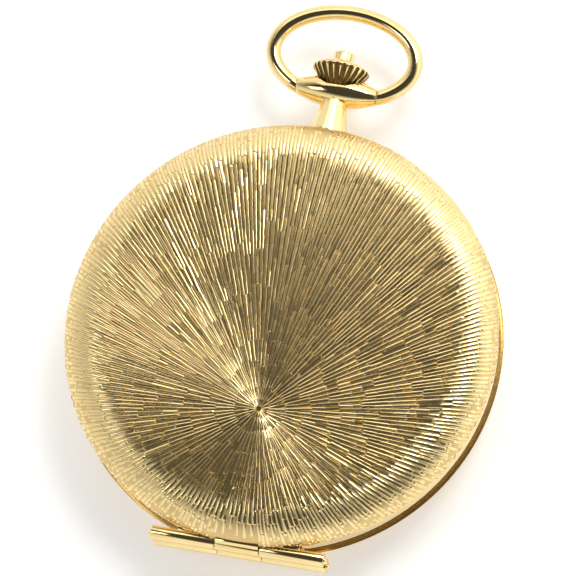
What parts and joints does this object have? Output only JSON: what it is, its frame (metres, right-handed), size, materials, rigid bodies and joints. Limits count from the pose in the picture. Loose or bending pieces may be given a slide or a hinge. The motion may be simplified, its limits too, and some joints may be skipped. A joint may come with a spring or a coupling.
{
  "type": "full hunter pocket watch",
  "caption": "Full hunter pocket watch with radially chiselled hinged covers, swinging bow, fluted crown with push-piece, and a hand-wound movement with small seconds.",
  "frame": {"origin": "centre of the back cover's flat resting face", "axes": "+Z out of the front cover, +Y through the pendant and crown, +X towards 6 o'clock on the dial"},
  "size_m": [0.046, 0.0609, 0.01],
  "materials": {
    "blued": "blued",
    "crystal": "clear",
    "dial": "satin",
    "gilt": "satin",
    "gold": "polished",
    "gold_bark": "radial chisel cut",
    "nickel": "striped",
    "ruby": "polished",
    "steel": "polished"
  },
  "bodies": {
    "case": {"case_band": "gold", "front_hinge_pin": "gold", "back_hinge_pin": "gold", "bezel": "gold", "crystal": "crystal", "pendant": "gold", "lid_catch_screw": "steel", "lift_spring": "steel", "lift_spring_screw": "steel", "main_plate": "nickel", "barrel_bridge": "nickel", "train_bridge": "nickel", "balance_cock": "nickel", "pallet_bridge": "nickel", "bridge_screws": "blued", "case_screws": "blued", "jewels": "ruby", "dial": "dial", "hour_markers": "gold", "crown_wheel_core": "steel", "click_spring": "steel", "hairspring": "blued", "regulator": "steel", "yoke": "steel"},
    "front_lid": {"front_lid": "gold_bark"},
    "back_cover": {"back_cover": "gold_bark"},
    "bow": {"bow": "gold"},
    "winding": {"winding_pinion": "steel", "sliding_pinion": "steel"},
    "crown_stem": {"crown": "gold", "winding_stem": "steel"},
    "lid_pusher": {"lid_pusher": "gold"},
    "lid_catch": {"lid_catch": "steel"},
    "ratchet": {"ratchet_wheel": "steel", "barrel_arbor": "steel"},
    "crown_wheel": {"crown_wheel": "steel"},
    "click": {"click": "steel"},
    "barrel": {"barrel": "gilt", "mainspring": "blued"},
    "centre": {"centre_wheel": "gilt"},
    "third": {"third_wheel": "gilt"},
    "fourth": {"fourth_wheel": "gilt", "seconds_hand": "blued"},
    "escape": {"escape_wheel": "gilt"},
    "pallet": {"pallet_fork": "steel"},
    "balance": {"balance_wheel": "gold", "balance_staff": "steel"},
    "minute": {"cannon_pinion": "steel", "minute_hand": "blued"},
    "minute_wheel": {"minute_wheel": "gilt"},
    "setting_wheel": {"setting_wheel": "steel"},
    "hour": {"hour_wheel": "gilt", "hour_hand": "blued"},
    "setting_lever": {"setting_lever": "steel"}
  },
  "joints": [
    {"name": "front_lid_open", "type": "hinge", "parent": "case", "child": "front_lid", "pos_m": [0, -0.023, 0.00615], "axis": [1, 0, 0], "range_deg": [0, 100]},
    {"name": "back_cover_open", "type": "hinge", "parent": "case", "child": "back_cover", "pos_m": [0, -0.023, 0.00385], "axis": [-1, 0, 0], "range_deg": [0, 100]},
    {"name": "bow_swing", "type": "hinge", "parent": "case", "child": "bow", "pos_m": [0, 0.0276, 0.005], "axis": [1, 0, 0], "range_deg": [-95, 95]},
    {"name": "crown_turn", "type": "hinge", "parent": "case", "child": "winding", "pos_m": [0, 0.0129, 0.005], "axis": [0, 1, 0], "continuous": true},
    {"name": "crown_pull", "type": "slide", "parent": "winding", "child": "crown_stem", "axis": [0, 1, 0], "range_m": [0, 0.0008]},
    {"name": "pusher_press", "type": "slide", "parent": "crown_stem", "child": "lid_pusher", "axis": [0, -1, 0], "range_m": [0, 0.0005], "stiffness_N_per_m": 400, "springref_m": -0.002},
    {"name": "catch_release", "type": "hinge", "parent": "case", "child": "lid_catch", "pos_m": [0.0172, 0.01205, 0.005], "axis": [0, 0, 1], "range_deg": [0, 1.5]},
    {"name": "crown_wheel_turn", "type": "hinge", "parent": "case", "child": "crown_wheel", "pos_m": [0, 0.0129, 0.005], "axis": [0, 0, 1], "continuous": true},
    {"name": "ratchet_turn", "type": "hinge", "parent": "case", "child": "ratchet", "pos_m": [-0.00727, 0.0042, 0.005], "axis": [0, 0, 1], "continuous": true},
    {"name": "click_lift", "type": "hinge", "parent": "case", "child": "click", "pos_m": [-0.00758, -0.00442, 0.005], "axis": [0, 0, 1], "range_deg": [0, 8], "stiffness_Nm_per_rad": 0.000001, "springref_deg": -11.46},
    {"name": "seconds_turn", "type": "hinge", "parent": "case", "child": "fourth", "pos_m": [0.009, 0, 0.005], "axis": [0, 0, 1], "continuous": true},
    {"name": "third_turn", "type": "hinge", "parent": "case", "child": "third", "pos_m": [0.00534, 0.00413, 0.005], "axis": [0, 0, 1], "continuous": true},
    {"name": "centre_turn", "type": "hinge", "parent": "case", "child": "centre", "pos_m": [0, 0, 0.005], "axis": [0, 0, 1], "continuous": true},
    {"name": "barrel_turn", "type": "hinge", "parent": "case", "child": "barrel", "pos_m": [-0.00727, 0.0042, 0.005], "axis": [0, 0, 1], "continuous": true},
    {"name": "escape_turn", "type": "hinge", "parent": "case", "child": "escape", "pos_m": [0.0086, -0.0046, 0.005], "axis": [0, 0, 1], "continuous": true},
    {"name": "pallet_rock", "type": "hinge", "parent": "case", "child": "pallet", "pos_m": [0.00696, -0.00716, 0.005], "axis": [0, 0, 1], "range_deg": [-5, 5]},
    {"name": "balance_swing", "type": "hinge", "parent": "case", "child": "balance", "pos_m": [0.0045, -0.011, 0.005], "axis": [0, 0, 1], "range_deg": [-270, 270], "stiffness_Nm_per_rad": 0.00000037},
    {"name": "minute_turn", "type": "hinge", "parent": "case", "child": "minute", "pos_m": [0, 0, 0.005], "axis": [0, 0, 1], "continuous": true},
    {"name": "minute_wheel_turn", "type": "hinge", "parent": "case", "child": "minute_wheel", "pos_m": [0.00052, 0.00295, 0.005], "axis": [0, 0, 1], "continuous": true},
    {"name": "setting_wheel_turn", "type": "hinge", "parent": "case", "child": "setting_wheel", "pos_m": [0, 0.00692, 0.005], "axis": [0, 0, 1], "continuous": true},
    {"name": "hour_turn", "type": "hinge", "parent": "case", "child": "hour", "pos_m": [0, 0, 0.005], "axis": [0, 0, 1], "continuous": true},
    {"name": "setting_lever_turn", "type": "hinge", "parent": "case", "child": "setting_lever", "pos_m": [0.0024, 0.0146, 0.005], "axis": [0, 0, 1], "range_deg": [-19.5, 0]}
  ],
  "couplings": [
    {"joint": "crown_wheel_turn", "follows": "crown_turn", "ratio": -0.53846},
    {"joint": "ratchet_turn", "follows": "crown_turn", "ratio": 0.30662},
    {"joint": "catch_release", "follows": "pusher_press", "rad_per_m": 52},
    {"joint": "setting_lever_turn", "follows": "crown_pull", "rad_per_m": -416.67},
    {"joint": "third_turn", "follows": "seconds_turn", "ratio": -0.13333},
    {"joint": "centre_turn", "follows": "seconds_turn", "ratio": 0.016667},
    {"joint": "barrel_turn", "follows": "seconds_turn", "ratio": -0.0027778},
    {"joint": "escape_turn", "follows": "seconds_turn", "ratio": -10},
    {"joint": "minute_wheel_turn", "follows": "minute_turn", "ratio": -0.33333},
    {"joint": "setting_wheel_turn", "follows": "minute_turn", "ratio": 0.42857},
    {"joint": "hour_turn", "follows": "minute_turn", "ratio": 0.083333}
  ]
}
